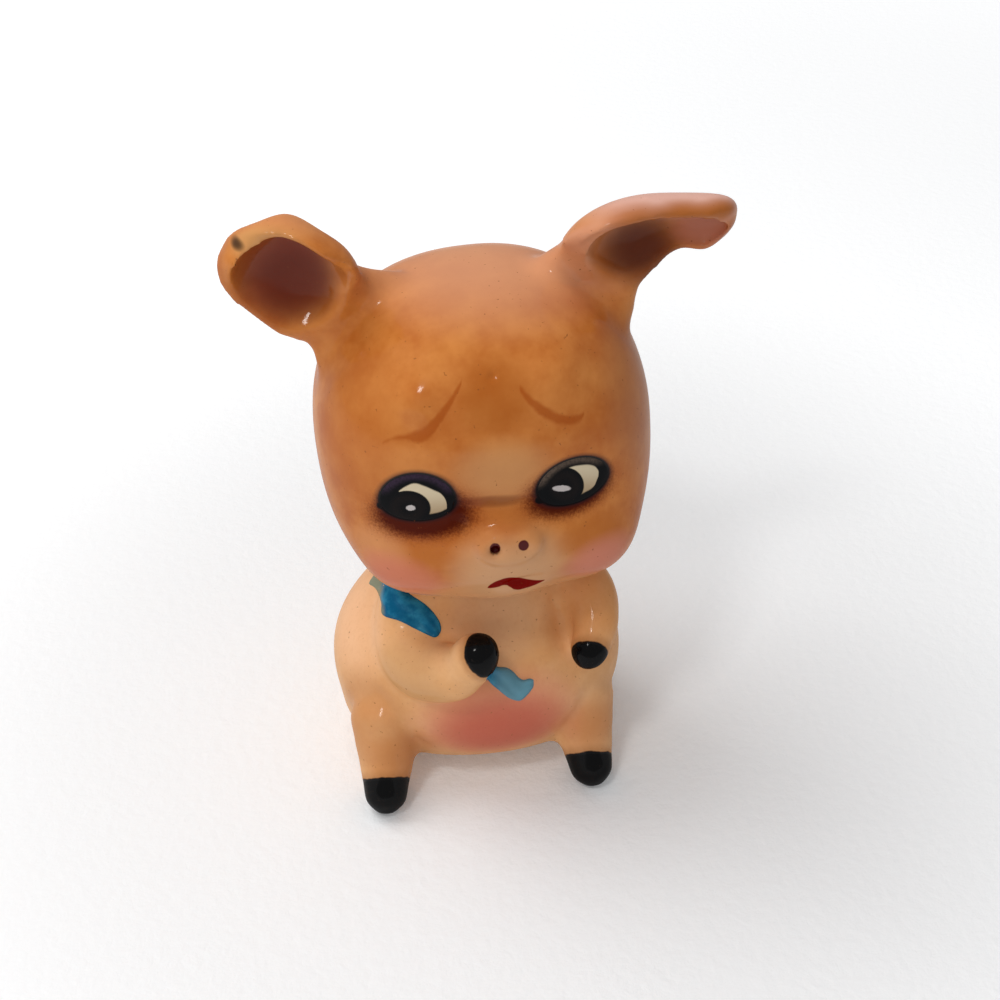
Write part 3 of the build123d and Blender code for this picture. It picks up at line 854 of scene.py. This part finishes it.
# Handkerchief. A strip of clay laid over the right arm and pinched under the hoof, so that two
# ends show; painted blue, thin at the edges, and left bare where it starts under the cheek.
blue, blue_shader, place = new_material("blue_paint")
strokes = noise(place, 0.45, 4, 0.6)
flag_centre = Vector((-11.1, -14.3, 33.9))
u, v = stencil(place, flag_centre)
thin_blue, full_blue = colour(46, 136, 172), colour(6, 92, 132)
paler_blue, bare_olive = colour(108, 152, 166), colour(132, 136, 112)
cloth_colour = lay(thin_blue, full_blue, strokes.soft(0.34, 0.7))
# the lower end of the cloth is a paler, greyer blue
cloth_colour = lay(paler_blue, cloth_colour, (u - 6).soft(4, 7) * 0.8)
cloth_colour = lay(bare_olive, cloth_colour, (u + strokes * 1.5).soft(-3.1, -4.2))
feed(blue_shader, "Base Color", cloth_colour)
feed(blue_shader, "Roughness", 0.34 + strokes * 0.2)
feed(blue_shader, "Normal", bump(strokes, 0.5, 0.12))
varnish(blue_shader, 0.25)
cloth_rise = 0.75
cloth_sink = 0.2
cloth_wipes = 8
under_cloth = skin.copy()
label_here = under_cloth.faces.layers.int["node"]
head_faces = [face for face in under_cloth.faces if face[label_here] == clay_nodes.index("head")]
bmesh.ops.delete(under_cloth, geom=head_faces, context="FACES")
cloth_ground = BVHTree.FromBMesh(under_cloth)
under_cloth.free()


def along(points, share):
    """A place on a smooth line through some points."""
    step = min(share * (len(points) - 1), len(points) - 1.001)
    index = int(step)
    blend = step - index
    before, start, end, after = (
        Vector(points[min(max(index + shift, 0), len(points) - 1)]) for shift in (-1, 0, 1, 2)
    )
    first = (end - before) / 2
    last = (after - start) / 2
    rest = end - start
    bend = 3 * rest - 2 * first - last
    curl = first + last - 2 * rest
    return start + blend * (first + blend * (bend + blend * curl))


# each end of the cloth: the middle of its drawing, its upper and lower edge, and its folds' depth
cloth = bmesh.new()
for centre, upper, lower, folds in (
    (
        flag_centre,
        [
            (-5.0, 6.1), (-3.1, 4.7), (-1.4, 3.7), (-0.3, 2.5), (1.6, 1.2),
            (2.8, 0.1), (3.6, -1.0), (4.0, -2.0), (4.0, -2.9),
        ],
        [
            (-7.1, 3.0), (-5.7, 2.6), (-4.6, 1.0), (-4.4, -0.8), (-2.0, -1.5),
            (0.3, -2.6), (1.9, -3.3), (3.0, -3.7), (3.65, -3.5),
        ],
        0.16,
    ),
    (
        Vector((2.6, -16.3, 21.6)),
        [
            (-3.6, 1.6), (-2.8, 2.3), (-1.6, 2.2), (-0.6, 2.1), (0.3, 1.5),
            (1.0, 0.7), (1.7, 0.3), (2.5, 0.45), (3.2, 0.2),
        ],
        [
            (-3.7, 0.8), (-3.3, 0.2), (-2.8, -0.4), (-1.9, -1.2), (-1.0, -2.0),
            (-0.1, -2.6), (1.2, -2.9), (2.3, -2.0), (3.2, -0.8),
        ],
        0.1,
    ),
):
    flap = bmesh.new()
    bmesh.ops.create_grid(flap, x_segments=70, y_segments=24, size=1)
    rises = []
    for vertex in flap.verts:
        share = (vertex.co.x + 1) / 2
        side = vertex.co.y
        place_here = along(upper, share).lerp(along(lower, share), (1 - side) / 2)
        end = abs(vertex.co.x) ** 10
        rise = cloth_rise * (1 - side**6) * (1 - end) - cloth_sink
        fold = folds * math.sin(5 * side + 3 * vertex.co.x) * (1 - side**2) * (1 - end)
        rises.append(rise + fold)
        vertex.co = on_skin(cloth_ground, centre, *place_here)
    inner = [vertex for vertex in flap.verts if not vertex.is_boundary]
    wipe(inner, cloth_wipes, flap)
    for vertex, rise in zip(flap.verts, rises):
        above_it = vertex.co + camera_back * (brush_reach * mm)
        ground = cloth_ground.ray_cast(above_it, -camera_back)[0]
        above = max(0, (ground - vertex.co).dot(camera_back))
        vertex.co += camera_back * (above + rise * mm)
    flap.normal_update()
    if sum(face.normal.dot(camera_back) for face in flap.faces) < 0:
        bmesh.ops.reverse_faces(flap, faces=flap.faces)
    bmesh.ops.solidify(flap, geom=flap.faces[:], thickness=clay_wall)
    flap_data = bpy.data.meshes.new("flap")
    flap.to_mesh(flap_data)
    flap.free()
    cloth.from_mesh(flap_data)
    bpy.data.meshes.remove(flap_data)
cloth_piece = add_piece(cloth, "handkerchief_clay", blue)
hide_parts("handkerchief")

# Light. A plain bright room: a wide lamp overhead, a little behind and to the left, a softer one
# in front, a small bulb that alone shows in the varnish, and a white surround.
lamp_tint = (1, 0.98, 0.95)
for name, location, size, power in (
    ("overhead", (-0.22, 0.12, 0.50), 0.35, 1.4),
    ("front", (-0.25, -0.50, 0.35), 0.35, 0.65),
    ("bulb", (-0.18, -0.24, 0.48), 0.075, 0.45),
):
    lamp_data = bpy.data.lights.new(name, "AREA")
    lamp_data.shape = "SQUARE"
    lamp_data.size = size
    lamp_data.energy = power
    lamp_data.color = lamp_tint
    lamp = bpy.data.objects.new(name, lamp_data)
    lamp.location = location
    lamp.visible_glossy = name == "bulb"
    aim = Vector((0, 0, 0.04)) - Vector(location)
    lamp.rotation_euler = aim.to_track_quat("-Z", "Y").to_euler()
    bpy.context.scene.collection.objects.link(lamp)
world = bpy.data.worlds.new("room")
world.use_nodes = True
bpy.context.scene.world = world
background = world.node_tree.nodes["Background"]
background.inputs["Color"].default_value = (1, 1, 1, 1)
ambient = 0.37
surround = in_view(Shade(world.node_tree, None))
feed(background, "Strength", surround * (1 - ambient) + ambient)
bpy.context.scene.view_settings.view_transform = "Standard"
